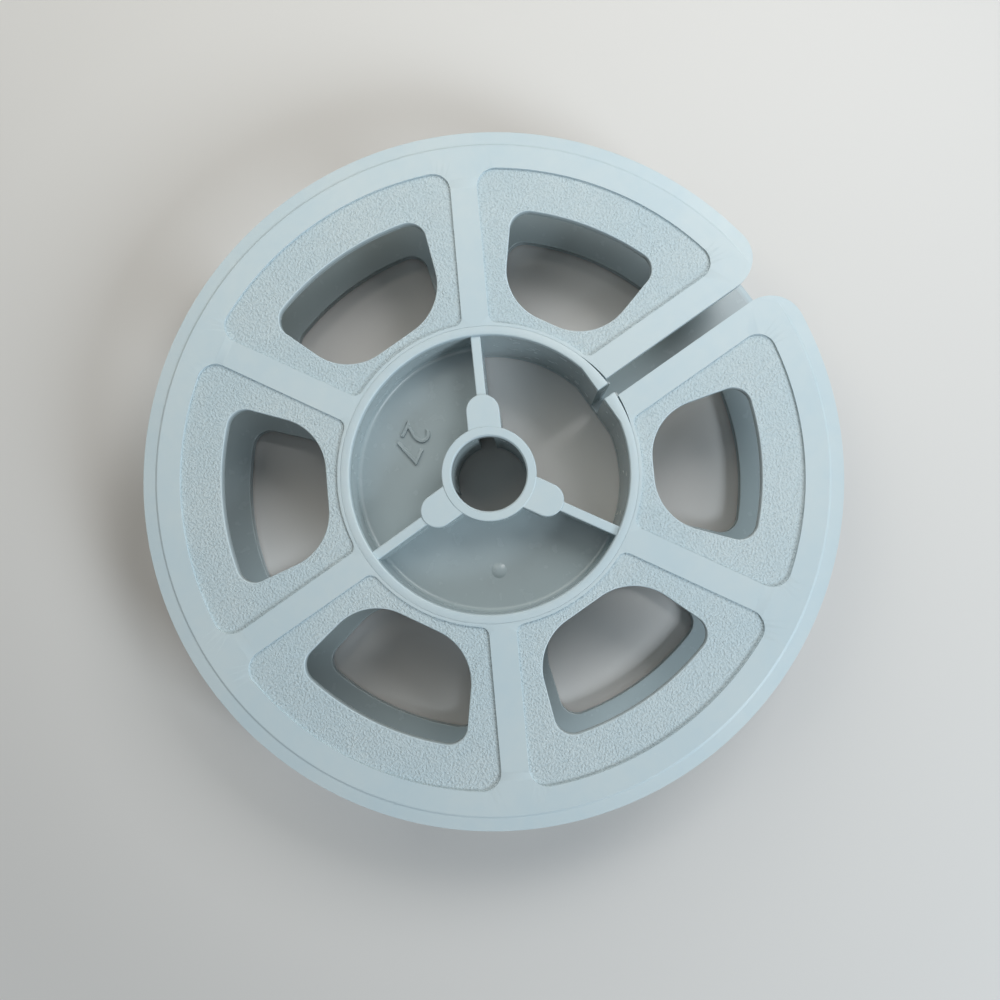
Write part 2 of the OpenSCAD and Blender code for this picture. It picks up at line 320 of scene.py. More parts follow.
def draw_arc(bm, vert, centre, sweep, axis=UP):
    """Draws an arc from a vertex round a centre and returns its last vertex."""
    step = 2 * acos(1 - ARC_ERROR / (vert.co - centre).length)
    steps = max(3, ceil(abs(sweep) / step))
    spun = bmesh.ops.spin(bm, geom=[vert], cent=centre, axis=axis, angle=sweep, steps=steps)
    return next(part for part in spun["geom_last"] if isinstance(part, BMVert))


def drawn_loop(bm, before):
    """Closes the outline that was drawn since the given edges, and returns its edges."""
    verts = {v for e in bm.edges if e not in before for v in e.verts}
    bmesh.ops.remove_doubles(bm, verts=list(verts), dist=SAME_POINT)
    return [e for e in bm.edges if e not in before]


def draw_circle(bm, radius, z):
    """Draws a full circle round the axis."""
    before = set(bm.edges)
    start = bm.verts.new(Vector((radius, 0, z)))
    draw_arc(bm, start, UP * z, tau)
    return drawn_loop(bm, before)


def draw_sector(bm, r_in, r_out, side1, side2, c_in, c_out, z):
    """Draws a piece of a ring with round corners. Each side is an angle and the side's offset from it."""
    before = set(bm.edges)
    height = UP * z

    def corner_centre(side, turn_sign, r, c):
        y = side[1] + c
        x = sqrt(r * r - y * y)
        return Matrix.Rotation(side[0], 3, "Z") @ Vector((x, turn_sign * y, z)), x, atan2(y, x)

    out1, out1_x, out1_lean = corner_centre(side1, 1, r_out - c_out, c_out)
    out2, out2_x, out2_lean = corner_centre(side2, -1, r_out - c_out, c_out)
    in1, in1_x, in1_lean = corner_centre(side1, 1, r_in + c_in, c_in)
    in2, in2_x, in2_lean = corner_centre(side2, -1, r_in + c_in, c_in)
    to_side1 = Matrix.Rotation(side1[0], 3, "Z")
    to_side2 = Matrix.Rotation(side2[0], 3, "Z")

    pen = bm.verts.new(to_side1 @ Vector((in1_x, side1[1], z)))
    pen = draw_line(bm, pen, to_side1 @ Vector((out1_x, side1[1], z)))
    pen = draw_arc(bm, pen, out1, pi / 2 + out1_lean)
    pen = draw_arc(bm, pen, height, side2[0] - out2_lean - side1[0] - out1_lean)
    pen = draw_arc(bm, pen, out2, pi / 2 + out2_lean)
    pen = draw_line(bm, pen, to_side2 @ Vector((in2_x, -side2[1], z)))
    pen = draw_arc(bm, pen, in2, pi / 2 - in2_lean)
    pen = draw_arc(bm, pen, height, side1[0] + in1_lean - side2[0] + in2_lean)
    draw_arc(bm, pen, in1, pi / 2 - in1_lean)
    return drawn_loop(bm, before)


def draw_window(bm, r_in, r_out, side1, middle_turn, side2, c_in, c_out, z):
    """Draws a window between two angles. Its inner end is straight, square to the middle of the bay."""
    before = set(bm.edges)
    to_side1 = Matrix.Rotation(side1, 3, "Z")
    to_side2 = Matrix.Rotation(side2, 3, "Z")
    lean1 = middle_turn - side1
    lean2 = side2 - middle_turn
    in1_x = (r_in + c_in * (1 - sin(lean1))) / cos(lean1)
    in2_x = (r_in + c_in * (1 - sin(lean2))) / cos(lean2)
    in1 = to_side1 @ Vector((in1_x, c_in, z))
    in2 = to_side2 @ Vector((in2_x, -c_in, z))
    out_x = sqrt((r_out - c_out) ** 2 - c_out**2)
    out_lean = atan2(c_out, out_x)

    pen = bm.verts.new(to_side1 @ Vector((in1_x, 0, z)))
    pen = draw_line(bm, pen, to_side1 @ Vector((out_x, 0, z)))
    pen = draw_arc(bm, pen, to_side1 @ Vector((out_x, c_out, z)), pi / 2 + out_lean)
    pen = draw_arc(bm, pen, UP * z, side2 - side1 - 2 * out_lean)
    pen = draw_arc(bm, pen, to_side2 @ Vector((out_x, -c_out, z)), pi / 2 + out_lean)
    pen = draw_line(bm, pen, to_side2 @ Vector((in2_x, 0, z)))
    pen = draw_arc(bm, pen, in2, pi / 2 - lean2)
    pen = draw_line(bm, pen, in1 - turned(c_in, middle_turn))
    draw_arc(bm, pen, in1, pi / 2 - lean1)
    return drawn_loop(bm, before)


def raise_loop(bm, edges, height, radial_scale=1.0):
    """Extrudes edges into a wall, and returns the edges at its far end."""
    made = bmesh.ops.extrude_edge_only(bm, edges=edges)["geom"]
    verts = [part for part in made if isinstance(part, BMVert)]
    bmesh.ops.translate(bm, verts=verts, vec=UP * height)
    bmesh.ops.scale(bm, verts=verts, vec=(radial_scale, radial_scale, 1))
    far = set(verts)
    return [part for part in made if isinstance(part, BMEdge) and far.issuperset(part.verts)]


def fill(bm, edges):
    """Fills the flat region between loops of edges."""
    bmesh.ops.triangle_fill(bm, use_beauty=True, use_dissolve=False, edges=edges)


def round_edges(bm, edges, radius, segments=4):
    """Rounds edges to a radius."""
    bmesh.ops.bevel(
        bm, geom=edges, offset=radius, offset_type="OFFSET", affect="EDGES", segments=segments,
        profile=0.5, material=-1, clamp_overlap=True, loop_slide=True,
    )


def middle(edge):
    """The middle of an edge."""
    return (edge.verts[0].co + edge.verts[1].co) / 2


def level_edges(bm):
    """The edges of a bmesh that lie level."""
    return [e for e in bm.edges if abs(e.verts[0].co.z - e.verts[1].co.z) < SAME_POINT]


def flange_bays(sizes, slotted):
    """The sides of each panel, and the sides and middle of its window, for the bays between the spokes."""
    # The rear flange is drawn from behind, so its turn goes the other way round.
    turn = 0 if slotted else -sizes.rear_turn
    span = sizes.window_span if slotted else sizes.rear_window_span
    side = (PITCH - span) / 2
    land = sizes.spoke_w / 2
    slot_land = sizes.slot_w / 2 + sizes.slot_land_w
    bays = []
    for i in range(SPOKES):
        start = i * PITCH + turn
        end = start + PITCH
        panel = [(start, land), (end, land)]
        window = [start + side, start + PITCH / 2, end - side]
        if slotted and i == 0:
            panel[0] = (start, slot_land)
            window[0] = start + sizes.slot_window_turn
        if slotted and i == SPOKES - 1:
            panel[1] = (end, slot_land)
            window[2] = end - sizes.slot_window_turn
        bays.append((panel, window))
    return bays


def draw_bays(bm, sizes, slotted):
    """Draws windows and panels, with their walls and floors. The film side is at Z = 0."""
    floor_z = FLANGE_T - sizes.panel_depth
    panel_out = FLANGE_R - sizes.rim_land_w
    panel_in = sizes.hole_r + sizes.hole_land_w
    window_out = panel_out - sizes.window_out_border
    window_in = panel_in + sizes.window_in_border
    loops = {"window_film": [], "window_floor": [], "panel_floor": [], "panel_land": []}
    for panel, window in flange_bays(sizes, slotted):
        film_loop = draw_window(
            bm, window_in, window_out, *window, sizes.window_in_corner, sizes.window_out_corner, 0
        )
        floor_loop = raise_loop(bm, film_loop, floor_z)
        panel_loop = draw_sector(
            bm, panel_in, panel_out, *panel, sizes.panel_in_corner, sizes.panel_out_corner, floor_z
        )
        fill(bm, floor_loop + panel_loop)
        land_loop = raise_loop(bm, panel_loop, sizes.panel_depth)
        loops["window_film"] += film_loop
        loops["window_floor"] += floor_loop
        loops["panel_floor"] += panel_loop
        loops["panel_land"] += land_loop
    return loops


def round_bays(bm, sizes, loops):
    """Turns all faces outwards, and rounds the edges of the windows and panels."""
    bmesh.ops.recalc_face_normals(bm, faces=bm.faces)
    round_edges(bm, loops["window_film"] + loops["window_floor"], sizes.window_edge_r)
    round_edges(bm, loops["panel_land"] + loops["panel_floor"], sizes.panel_edge_r, segments=3)


def draw_slotted_outline(bm, sizes):
    """Draws the outline of the front flange at Z = 0: slot, mouth, rim, mouth, slot and hole."""
    before = set(bm.edges)
    half = sizes.slot_w / 2
    band_r = FLANGE_R - sizes.rim_band_w
    mouth_y = half + sizes.mouth_r
    mouth_x = sqrt((FLANGE_R - sizes.mouth_r) ** 2 - mouth_y**2)
    mouth_lean = atan2(mouth_y, mouth_x)
    reach = hypot(mouth_x, mouth_y)
    # The mouth's arc crosses the edge of the rim band at this angle short of the mouth's end.
    band_turn = acos((band_r**2 - reach**2 - sizes.mouth_r**2) / (2 * reach * sizes.mouth_r))
    # Beside the slot, the hole follows an arc of its own, which leaves its circle at the seam's turn.
    gape = Vector((sizes.seam_gap / (1 - cos(sizes.seam_turn)), 0, 0))
    seam_end = turned(sizes.hole_r, -sizes.seam_turn)
    gape_r = (seam_end - gape).length
    gape_lean = asin(half / gape_r)
    hole_x = gape.x + gape_r * cos(gape_lean)
    gape_turn = atan2(-seam_end.y, seam_end.x - gape.x) - gape_lean
    left = Vector((mouth_x, mouth_y, 0))
    right = Vector((mouth_x, -mouth_y, 0))

    pen = bm.verts.new(Vector((hole_x, half, 0)))
    pen = draw_line(bm, pen, Vector((mouth_x, half, 0)))
    pen = draw_arc(bm, pen, left, pi / 2 + mouth_lean - band_turn)
    pen = draw_arc(bm, pen, left, band_turn)
    pen = draw_arc(bm, pen, AXIS, tau - 2 * mouth_lean)
    pen = draw_arc(bm, pen, right, band_turn)
    pen = draw_arc(bm, pen, right, pi / 2 + mouth_lean - band_turn)
    pen = draw_line(bm, pen, Vector((hole_x, -half, 0)))
    pen = draw_arc(bm, pen, gape, -gape_turn)
    pen = draw_arc(bm, pen, AXIS, 2 * sizes.seam_turn - tau)
    draw_arc(bm, pen, gape, -gape_turn)
    return drawn_loop(bm, before)


def slotted_plate(sizes):
    """A bmesh of the front flange, with its film side at Z = 0."""
    bm = bmesh.new()
    band_r = FLANGE_R - sizes.rim_band_w
    loops = draw_bays(bm, sizes, slotted=True)
    film_edge = draw_slotted_outline(bm, sizes)
    fill(bm, film_edge + loops["window_film"])
    top = raise_loop(bm, film_edge, FLANGE_T)
    rim = [e for e in top if middle(e).xy.length > band_r]
    land = [e for e in top if middle(e).xy.length <= band_r]

    ends = sorted({v for e in rim for v in e.verts}, key=lambda v: abs(v.co.xy.length - band_r))[:2]
    start, end = sorted(ends, key=lambda v: -v.co.y)
    start_turn = atan2(start.co.y, start.co.x)
    before = set(bm.edges)
    last = draw_arc(bm, start, UP * FLANGE_T, tau - 2 * start_turn)
    bmesh.ops.weld_verts(bm, targetmap={last: end})
    step_edge = [e for e in bm.edges if e not in before]
    fill(bm, land + step_edge + loops["panel_land"])

    lowered = {}
    ring = step_edge
    for i, share in enumerate(STEP_SLOPE):
        before = set(bm.edges)
        verts = {v for e in raise_loop(bm, ring, 0) for v in e.verts}
        joins = {min(verts, key=lambda v, tip=tip: (v.co - tip.co).length): tip for tip in (start, end)}
        bmesh.ops.weld_verts(bm, targetmap=joins)
        verts = {v for v in verts if v.is_valid}
        lowered.update({v: (share, (i + 1) / len(STEP_SLOPE)) for v in verts})
        ring = [e for e in bm.edges if e not in before and (verts | {start, end}).issuperset(e.verts)]
    fill(bm, ring + rim)
    lowered.update({v: (1, 0) for e in rim for v in e.verts if v not in (start, end)})
    for v, (down, out) in lowered.items():
        from_mouth = abs(atan2(v.co.y, v.co.x)) - start_turn
        ramp = min(1.0, max(0.0, from_mouth / sizes.mouth_fade))
        # The step runs out in a soft curve.
        ramp = ramp * ramp * (3 - 2 * ramp)
        v.co.xy *= 1 + ramp * out * sizes.step_run / band_r
        across = max(0.0, (v.co.xy.length - band_r) / sizes.rim_band_w)
        v.co.z -= ramp * down * (sizes.rim_step + sizes.rim_fall * across)

    round_bays(bm, sizes, loops)
    hole_edge = sizes.hole_r + sizes.seam_gap + SAME_POINT
    outline = [e for e in film_edge + top if e.is_valid and middle(e).xy.length > hole_edge]
    round_edges(bm, outline, sizes.rim_edge_r)
    return bm


def rear_and_barrel(sizes, core):
    """A bmesh of the rear flange and the barrel, without the hub. The rear face is at Z = 0."""
    bm = bmesh.new()
    band_r = FLANGE_R - sizes.rim_band_w
    barrel_out = core.barrel_r + core.barrel_wall
    spigot_r = barrel_out - core.shoulder_w
    band_z = FLANGE_T - sizes.rim_step - sizes.rim_fall
    loops = draw_bays(bm, sizes, slotted=False)

    # The barrel is drawn from the rear face through the reel and back outside to the film side.
    rear_edge = draw_circle(bm, core.barrel_r, FLANGE_T)
    front_edge = raise_loop(bm, rear_edge, -REEL_W)
    seat_edge = raise_loop(bm, front_edge, 0, spigot_r / core.barrel_r)
    seat_foot = raise_loop(bm, seat_edge, FLANGE_T)
    shoulder = raise_loop(bm, seat_foot, 0, barrel_out / spigot_r)
    film_foot = raise_loop(bm, shoulder, REEL_W - 2 * FLANGE_T)

    rim_film = draw_circle(bm, FLANGE_R, 0)
    rim_face = raise_loop(bm, rim_film, band_z)
    foot_r = band_r + sizes.step_run
    foot_fall = sizes.rim_fall * sizes.step_run / sizes.rim_band_w
    step_edge = raise_loop(bm, rim_face, sizes.rim_fall - foot_fall, foot_r / FLANGE_R)
    ring_r = foot_r
    down = 1.0
    for i, share in enumerate(reversed((0, *STEP_SLOPE[:-1]))):
        next_r = foot_r - sizes.step_run * (i + 1) / len(STEP_SLOPE)
        rise = (down - share) * (sizes.rim_step + foot_fall)
        step_edge = raise_loop(bm, step_edge, rise, next_r / ring_r)
        ring_r = next_r
        down = share
    fill(bm, rim_film + film_foot + loops["window_film"])
    fill(bm, step_edge + rear_edge + loops["panel_land"])

    round_bays(bm, sizes, loops)
    round_edges(bm, rim_film + rim_face, sizes.rim_edge_r)
    round_edges(bm, rear_edge + front_edge, core.barrel_edge_r)
    round_edges(bm, seat_edge + shoulder, core.seat_edge_r, segments=2)
    bmesh.ops.rotate(bm, verts=bm.verts, cent=AXIS, matrix=Matrix.Rotation(pi, 3, "X"))
    bmesh.ops.translate(bm, verts=bm.verts, vec=UP * FLANGE_T)
    return bm


def add_copies(target, source, turns):
    """Adds copies of a solid, turned round the axis, to another bmesh."""
    mesh = bpy.data.meshes.new("solid")
    source.to_mesh(mesh)
    source.free()
    for turn in turns:
        first = len(target.verts)
        target.from_mesh(mesh)
        target.verts.ensure_lookup_table()
        bmesh.ops.rotate(
            target, verts=target.verts[first:], cent=AXIS, matrix=Matrix.Rotation(turn, 3, "Z")
        )
    bpy.data.meshes.remove(mesh)


def draw_lobe(bm, core, width, z):
    """Draws the outline of a lobe, or of the keyway in it, from the axis to its round tip."""
    tip = Vector((core.lobe_reach - core.lobe_w / 2, 0, z))
    side = Vector((0, width / 2, 0))
    first = bm.verts.new(UP * z - side)
    pen = draw_line(bm, first, tip - side)
    pen = draw_arc(bm, pen, tip, pi)
    pen = draw_line(bm, pen, UP * z + side)
    bm.edges.new((pen, first))


def raised_outline(bm, height, direction=UP):
    """Fills the one outline in a bmesh and extrudes it into a solid."""
    face = bmesh.ops.edgeloop_fill(bm, edges=bm.edges)["faces"]
    made = bmesh.ops.extrude_face_region(bm, geom=face)["geom"]
    bmesh.ops.translate(bm, verts=[v for v in made if isinstance(v, BMVert)], vec=direction * height)


def rib_angles(core):
    """The angles of the three ribs and lobes."""
    return [i * PITCH + core.rib_turn for i in RIB_SPOKES]


def lobe_solid(core):
    """A bmesh of one lobe along +X, with round edges."""
    bm = bmesh.new()
    draw_lobe(bm, core, core.lobe_w, core.lobe_drop)
    raised_outline(bm, REEL_W - 2 * core.lobe_drop)
    outer = [e for e in level_edges(bm) if middle(e).x > SAME_POINT]
    round_edges(bm, outer, core.hub_edge_r, segments=3)
    return bm


def rib_solid(core):
    """A bmesh of one rib along +X, from inside the lobe into the barrel."""
    bm = bmesh.new()
    start = core.lobe_reach - core.lobe_w / 2
    end = core.barrel_r + core.barrel_wall / 2
    bmesh.ops.create_cube(bm, size=1)
    bmesh.ops.scale(bm, verts=bm.verts, vec=(end - start, core.rib_t, REEL_W - 2 * core.rib_drop))
    bmesh.ops.translate(bm, verts=bm.verts, vec=((start + end) / 2, 0, REEL_W / 2))
    along = [e for e in bm.edges if abs(e.verts[0].co.x - e.verts[1].co.x) > SAME_POINT]
    round_edges(bm, along, core.hub_edge_r, segments=3)
    return bm


def collar_solid(core):
    """A bmesh of the collar before it is bored."""
    bm = bmesh.new()
    radius = core.bore_r + core.collar_wall
    start = bm.verts.new(Vector((radius, 0, core.collar_drop)))
    draw_arc(bm, start, UP * core.collar_drop, tau)
    bmesh.ops.remove_doubles(bm, verts=bm.verts, dist=SAME_POINT)
    raised_outline(bm, REEL_W - 2 * core.collar_drop)
    round_edges(bm, level_edges(bm), core.hub_edge_r, segments=3)
    return bm


def web_solid(core):
    """A bmesh of the web and its fillets, which fills the barrel from the first rib to the last."""
    bm = bmesh.new()
    across = Vector((0, -1, 0))
    fillet = core.web_fillet_r
    fillet_x = core.barrel_r - fillet
    inner_x = core.bore_r + core.collar_wall / 2
    outer_x = core.barrel_r + core.barrel_wall / 2
    low = (REEL_W - core.web_t) / 2
    high = (REEL_W + core.web_t) / 2
    first = bm.verts.new(Vector((inner_x, 0, low)))
    pen = draw_line(bm, first, Vector((fillet_x, 0, low)))
    pen = draw_arc(bm, pen, Vector((fillet_x, 0, low - fillet)), -pi / 2, across)
    pen = draw_line(bm, pen, Vector((outer_x, 0, low - fillet)))
    pen = draw_line(bm, pen, Vector((outer_x, 0, high + fillet)))
    pen = draw_line(bm, pen, Vector((core.barrel_r, 0, high + fillet)))
    pen = draw_arc(bm, pen, Vector((fillet_x, 0, high + fillet)), -pi / 2, across)
    pen = draw_line(bm, pen, Vector((inner_x, 0, high)))
    bm.edges.new((pen, first))
    face = bmesh.ops.edgeloop_fill(bm, edges=bm.edges)["faces"]
    first_rib, *_, last_rib = rib_angles(core)
    bmesh.ops.rotate(bm, verts=bm.verts, cent=AXIS, matrix=Matrix.Rotation(first_rib, 3, "Z"))
    span = last_rib - first_rib
    steps = ceil(span / (2 * acos(1 - ARC_ERROR / core.barrel_r)))
    bmesh.ops.spin(bm, geom=face, cent=AXIS, axis=UP, angle=span, steps=steps)
    return bm


def pad_solid(core):
    """A bmesh of the flat that thickens the barrel inside, where the slit cuts it."""
    bm = bmesh.new()
    radius = core.barrel_r + core.barrel_wall / 2
    flat_x = core.barrel_r - core.slit_pad_t
    lean = acos(flat_x / radius)
    start = bm.verts.new(turned(radius, -lean, core.slit_pad_drop))
    pen = draw_arc(bm, start, UP * core.slit_pad_drop, 2 * lean)
    bm.edges.new((pen, start))
    raised_outline(bm, REEL_W - 2 * core.slit_pad_drop)
    inner = [e for e in bm.edges if all(v.co.x < flat_x + SAME_POINT for v in e.verts)]
    ends = [e for e in inner if abs(middle(e).y) < SAME_POINT]
    round_edges(bm, ends, core.hub_edge_r, segments=3)
    return bm


def pin_mark_solid(core):
    """A bmesh of the low dome that an ejector pin leaves on the web."""
    mark_r = core.pin_mark_d / 2
    rise = core.pin_mark_rise
    ball_r = (mark_r**2 + rise**2) / (2 * rise)
    face_z = (REEL_W + core.web_t) / 2
    rings = 8
    dome = [(0, REEL_W / 2), (mark_r, REEL_W / 2)]
    for i in range(rings + 1):
        lean = asin(mark_r / ball_r) * (1 - i / rings)
        dome.append((ball_r * sin(lean), face_z + rise - ball_r * (1 - cos(lean))))
    bm = turned_solid(dome)
    bmesh.ops.translate(bm, verts=bm.verts, vec=turned(core.pin_mark_r, PIN_MARK_SPOKE * PITCH))
    return bm


def hub_solids(core):
    """A bmesh of the collar, the web, the lobes, the ribs, the pad and the pin mark, which overlap."""
    arms = bmesh.new()
    add_copies(arms, lobe_solid(core), rib_angles(core))
    add_copies(arms, rib_solid(core), rib_angles(core))
    add_copies(arms, pad_solid(core), (0,))
    add_copies(arms, pin_mark_solid(core), (0,))
    hub = combine(web_solid(core), collar_solid(core), "UNION")
    return combine(hub, arms, "UNION", overlapping=True)


def turned_solid(outline):
    """A bmesh of the solid that an outline of radius and height makes round the axis."""
    bm = bmesh.new()
    draw_path(bm, [Vector((radius, 0, z)) for radius, z in outline])
    steps = ceil(tau / (2 * acos(1 - ARC_ERROR / max(radius for radius, z in outline))))
    bmesh.ops.spin(
        bm, geom=bm.verts[:] + bm.edges[:], cent=AXIS, axis=UP, angle=tau, steps=steps, use_merge=True
    )
    bmesh.ops.remove_doubles(bm, verts=bm.verts, dist=SAME_POINT)
    bmesh.ops.recalc_face_normals(bm, faces=bm.faces)
    return bm


def bore_cutter(core):
    """A bmesh of the spindle bore with a chamfer at each end."""
    flare = core.bore_r + core.bore_chamfer + PAST
    chamfer_z = core.collar_drop + core.bore_chamfer
    end_z = core.collar_drop - PAST
    return turned_solid([
        (0, end_z), (flare, end_z), (core.bore_r, chamfer_z),
        (core.bore_r, REEL_W - chamfer_z), (flare, REEL_W - end_z), (0, REEL_W - end_z),
    ])


def keyway_cutter(core):
    """A bmesh of the three keyways, which are open to the rear."""
    keyway = bmesh.new()
    draw_lobe(keyway, core, core.lobe_w - 2 * core.lobe_wall, -PAST)
    raised_outline(keyway, REEL_W - core.lobe_drop - core.keyway_cap_t + PAST)
    bm = bmesh.new()
    add_copies(bm, keyway, rib_angles(core))
    return bm


def slit_cutter(core):
    """A bmesh of the slit in the barrel, which is open towards the front."""
    bm = bmesh.new()
    inside = core.barrel_r - PAST
    foot = FLANGE_T + core.slit_sill
    half = core.slit_w / 2
    top = REEL_W - core.slit_edge_r
    flare = half + core.slit_edge_r + PAST
    outline = (
        (-half, foot), (half, foot), (half, top),
        (flare, REEL_W + PAST), (-flare, REEL_W + PAST), (-half, top),
    )
    first, last = draw_path(bm, [Vector((inside, y, z)) for y, z in outline])
    bm.edges.new((last, first))
    raised_outline(bm, core.barrel_wall + 2 * PAST, Vector((1, 0, 0)))
    return bm


def mesh_object(bm, name):
    """Puts a bmesh into the scene as an object, and frees the bmesh."""
    mesh = bpy.data.meshes.new(name)
    bm.to_mesh(mesh)
    bm.free()
    made = bpy.data.objects.new(name, mesh)
    bpy.context.scene.collection.objects.link(made)
    return made


def final_mesh(obj):
    """A new mesh of an object as its modifiers or its curve make it."""
    depsgraph = bpy.context.evaluated_depsgraph_get()
    return bpy.data.meshes.new_from_object(obj.evaluated_get(depsgraph))


def combine(body, tool, operation, overlapping=False):
    """Joins a solid to a body or cuts it out, and returns the body as a new bmesh."""
    objects = []
    for name, bm in (("body", body), ("tool", tool)):
        bmesh.ops.recalc_face_normals(bm, faces=bm.faces)
        objects.append(mesh_object(bm, name))
    cut = objects[0].modifiers.new("combine", "BOOLEAN")
    cut.operation = operation
    cut.solver = "EXACT"
    cut.use_self = overlapping
    cut.object = objects[1]
    combined = final_mesh(objects[0])
    result = bmesh.new()
    result.from_mesh(combined)
    for mesh in [combined] + [obj.data for obj in objects]:
        bpy.data.meshes.remove(mesh)
    return result


def mark_grain(bm, floor_z):
    """Marks the flat floors of the panels, which carry the grain."""
    grain = bm.faces.layers.float.new(GRAIN)
    for face in bm.faces:
        if all(abs(vert.co.z - floor_z) < SAME_POINT for vert in face.verts):
            face[grain] = 1.0


def finish_mesh(bm, name):
    """Makes a piece from a bmesh, with outward faces and smooth shading between its sharp edges."""
    bmesh.ops.remove_doubles(bm, verts=bm.verts, dist=SAME_POINT)
    bmesh.ops.dissolve_degenerate(bm, dist=SAME_POINT, edges=bm.edges)
    bmesh.ops.recalc_face_normals(bm, faces=bm.faces)
    strength = bm.faces.layers.int.new(FACE_STRENGTH)
    for face in bm.faces:
        face.smooth = True
        face[strength] = STRONG if abs(face.normal.z) > LEVEL else 0
    for edge in bm.edges:
        edge.smooth = edge.calc_face_angle(0) < SHARP_ANGLE
    piece = mesh_object(bm, name)
    weighted = piece.modifiers.new("flat faces stay flat", "WEIGHTED_NORMAL")
    weighted.keep_sharp = True
    weighted.weight = 100
    weighted.use_face_influence = True
    return piece


def number_mesh(number):
    """A bmesh of the raised number, upright at the origin and sunk by its rounding."""
    curve = bpy.data.curves.new("number", "FONT")
    curve.body = number.text
    curve.align_x = "CENTER"
    curve.align_y = "CENTER"
    curve.resolution_u = 6
    outline = bpy.data.objects.new("number", curve)
    bpy.context.scene.collection.objects.link(outline)
    bpy.context.view_layer.update()
    curve.size = number.height / outline.dimensions.y
    curve.offset = -number.thinning
    curve.bevel_depth = number.edge_r
    curve.bevel_resolution = 2
    curve.extrude = (number.rise + number.edge_r) / 2 - number.edge_r
    mesh = final_mesh(outline)
    bm = bmesh.new()
    bm.from_mesh(mesh)
    bpy.data.meshes.remove(mesh)
    bpy.data.curves.remove(curve)
    bmesh.ops.translate(bm, verts=bm.verts, vec=UP * (number.rise - number.edge_r) / 2)
    return bm


def node(tree, kind, inputs, **settings):
    """Adds a shader node, and sets or wires its inputs."""
    made = tree.nodes.new("ShaderNode" + kind)
    for name, value in settings.items():
        setattr(made, name, value)
    for key, value in inputs.items():
        if isinstance(value, bpy.types.NodeSocket):
            tree.links.new(value, made.inputs[key])
        else:
            made.inputs[key].default_value = value
    return made


def maths(tree, operation, *values):
    """Adds a math node and returns its result."""
    return node(tree, "Math", dict(enumerate(values)), operation=operation).outputs[0]


def times(tree, first, second):
    """Multiplies two values."""
    return maths(tree, "MULTIPLY", first, second)


def spread(tree, value, low, high, blend="LINEAR"):
    """Stretches values between two limits to the range from 0 to 1."""
    limits = {"Value": value, "From Min": low, "From Max": high}
    return node(tree, "MapRange", limits, interpolation_type=blend).outputs["Result"]


def mixed(tree, share, first, second):
    """Mixes two colours."""
    made = node(tree, "Mix", {0: share, 6: first, 7: second}, data_type="RGBA")
    return made.outputs[2]


def noise(tree, vector, feature, detail):
    """Adds noise whose features have a given size, and returns its value."""
    made = node(tree, "TexNoise", {"Vector": vector, "Scale": 1 / feature, "Detail": detail})
    return made.outputs["Fac"]


def new_group(name, inputs, outputs):
    """Starts a shader node group with named sockets, and returns it with its ends."""
    group = bpy.data.node_groups.new(name, "ShaderNodeTree")
    for label, kind in inputs.items():
        group.interface.new_socket(name=label, in_out="INPUT", socket_type="NodeSocket" + kind)
    for label, kind in outputs.items():
        group.interface.new_socket(name=label, in_out="OUTPUT", socket_type="NodeSocket" + kind)
    start = group.nodes.new("NodeGroupInput")
    end = group.nodes.new("NodeGroupOutput")
    return group, start.outputs, end.inputs


def moulded_mottle():
    """A group for the slow drift of colour that the melt leaves, and for the uneven gloss."""
    group, start, end = new_group(
        "moulded mottle",
        {"Vector": "Vector", "Plastic": "Color", "Mottle": "Color"},
        {"Color": "Color", "Gloss": "Float"},
    )
    flow = noise(group, start["Vector"], FLOW_SIZE, 3)
    cloud = noise(group, start["Vector"], CLOUD_SIZE, 4)
    drift = maths(group, "ADD", times(group, flow, 0.7), times(group, cloud, 0.3))
    share = spread(group, drift, 0.38, 0.62)
    group.links.new(mixed(group, share, start["Plastic"], start["Mottle"]), end["Color"])
    group.links.new(spread(group, cloud, 0.1, 0.9), end["Gloss"])
    return group


def pebble_grain():
    """A group for the fine pebbles of the spark-eroded panels."""
    group, start, end = new_group(
        "pebble grain",
        {"Vector": "Vector", "Mask": "Float", "Pebble": "Float"},
        {"Height": "Float", "Pits": "Float"},
    )
    scale = maths(group, "DIVIDE", 1.0, start["Pebble"])
    cells = {"Vector": start["Vector"], "Scale": scale, "Smoothness": 0.5, "Randomness": 1.0}
    pebbles = node(group, "TexVoronoi", cells, feature="SMOOTH_F1").outputs["Distance"]
    coarser = {"Vector": start["Vector"], "Scale": times(group, scale, 0.7), "Detail": 3.0}
    lumps = spread(group, node(group, "TexNoise", coarser).outputs["Fac"], 0.25, 0.75)
    tops = maths(group, "SUBTRACT", lumps, times(group, pebbles, 0.6))
    pits = spread(group, tops, 0.35, -0.1)
    group.links.new(times(group, tops, start["Mask"]), end["Height"])
    group.links.new(times(group, pits, start["Mask"]), end["Pits"])
    return group


